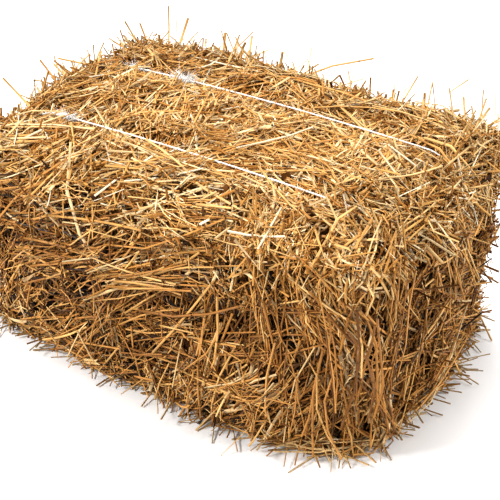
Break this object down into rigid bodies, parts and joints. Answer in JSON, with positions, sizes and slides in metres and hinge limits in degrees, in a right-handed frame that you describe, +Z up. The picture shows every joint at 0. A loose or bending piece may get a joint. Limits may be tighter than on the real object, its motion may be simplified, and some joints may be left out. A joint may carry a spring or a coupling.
{
  "type": "straw bale",
  "caption": "Small rectangular bale of golden cereal straw, pressed in flakes and tied lengthwise with white twine; lies flat on its broad side as feed-yard litter, seat or stacking block.",
  "frame": {"origin": "on the ground under the middle of the bale", "axes": "+X along the twines, +Y across them to the far long side, +Z up"},
  "size_m": [0.762, 0.532, 0.412],
  "materials": {
    "straw": "dry satin stalks",
    "twine": "frayed fibres"
  },
  "bodies": {
    "root": {"flake_1": "straw", "flake_2": "straw", "flake_3": "straw", "flake_4": "straw", "flake_5": "straw", "flake_6": "straw", "flake_7": "straw", "twine_front": "twine", "twine_back": "twine"}
  },
  "joints": []
}
